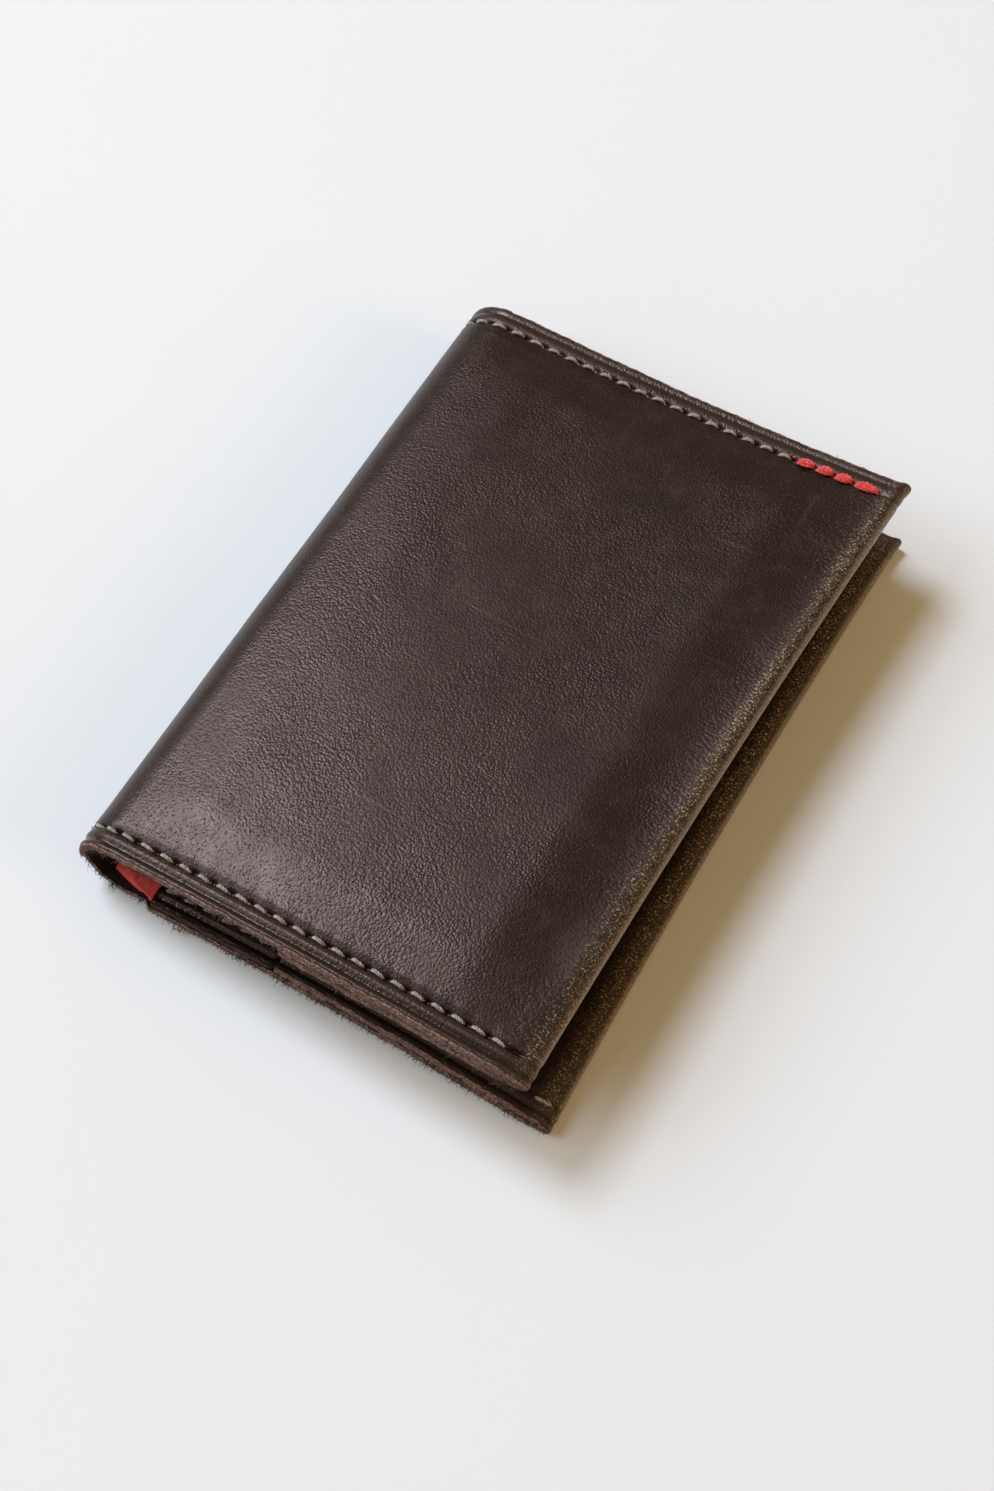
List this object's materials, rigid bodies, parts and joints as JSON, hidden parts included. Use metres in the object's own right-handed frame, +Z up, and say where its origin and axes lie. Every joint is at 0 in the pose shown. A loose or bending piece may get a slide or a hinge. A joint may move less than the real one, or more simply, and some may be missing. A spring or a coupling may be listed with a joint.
{
  "type": "business card case",
  "caption": "Folding leather case for business cards, with turned-in pockets, a T-shaped card pocket, sewn edges and a ribbon tag loop at the spine.",
  "frame": {"origin": "centre of the case's bounding box on the plane it rests on", "axes": "+X from the spine to the free edges, +Y along the spine, +Z up from the back cover to the front cover"},
  "size_m": [0.0734, 0.1044, 0.0177],
  "materials": {
    "outer_leather": "waxed pull-up leather, satin",
    "inner_leather": "the same leather turned inward, raw edges",
    "pocket_leather": "smooth leather, burnished edge",
    "sewing_thread": "twisted waxed thread",
    "accent_thread": "twisted thick thread",
    "tag_ribbon": "woven ribbon"
  },
  "bodies": {
    "back_cover": {"back_panel": "outer_leather", "back_turned_flap": "inner_leather", "t_pocket": "pocket_leather", "back_near_seam": "sewing_thread", "back_far_seam": "sewing_thread", "tag_loop": "tag_ribbon"},
    "spine": {"spine_strip": "outer_leather", "spine_stitches": "sewing_thread"},
    "front_cover": {"front_panel": "outer_leather", "front_turned_flap": "inner_leather", "front_near_seam": "sewing_thread", "front_far_seam": "sewing_thread", "accent_stitches": "accent_thread"}
  },
  "joints": [
    {"name": "back_bend", "type": "hinge", "parent": "back_cover", "child": "spine", "pos_m": [-0.0352, 0, 0.0013], "axis": [0, -1, 0], "range_deg": [-2.2, 87.8]},
    {"name": "front_bend", "type": "hinge", "parent": "spine", "child": "front_cover", "pos_m": [-0.03558, 0, 0.0111], "axis": [0, -1, 0], "range_deg": [-2.2, 87.8]}
  ],
  "couplings": [
    {"joint": "front_bend", "follows": "back_bend", "ratio": 1}
  ]
}
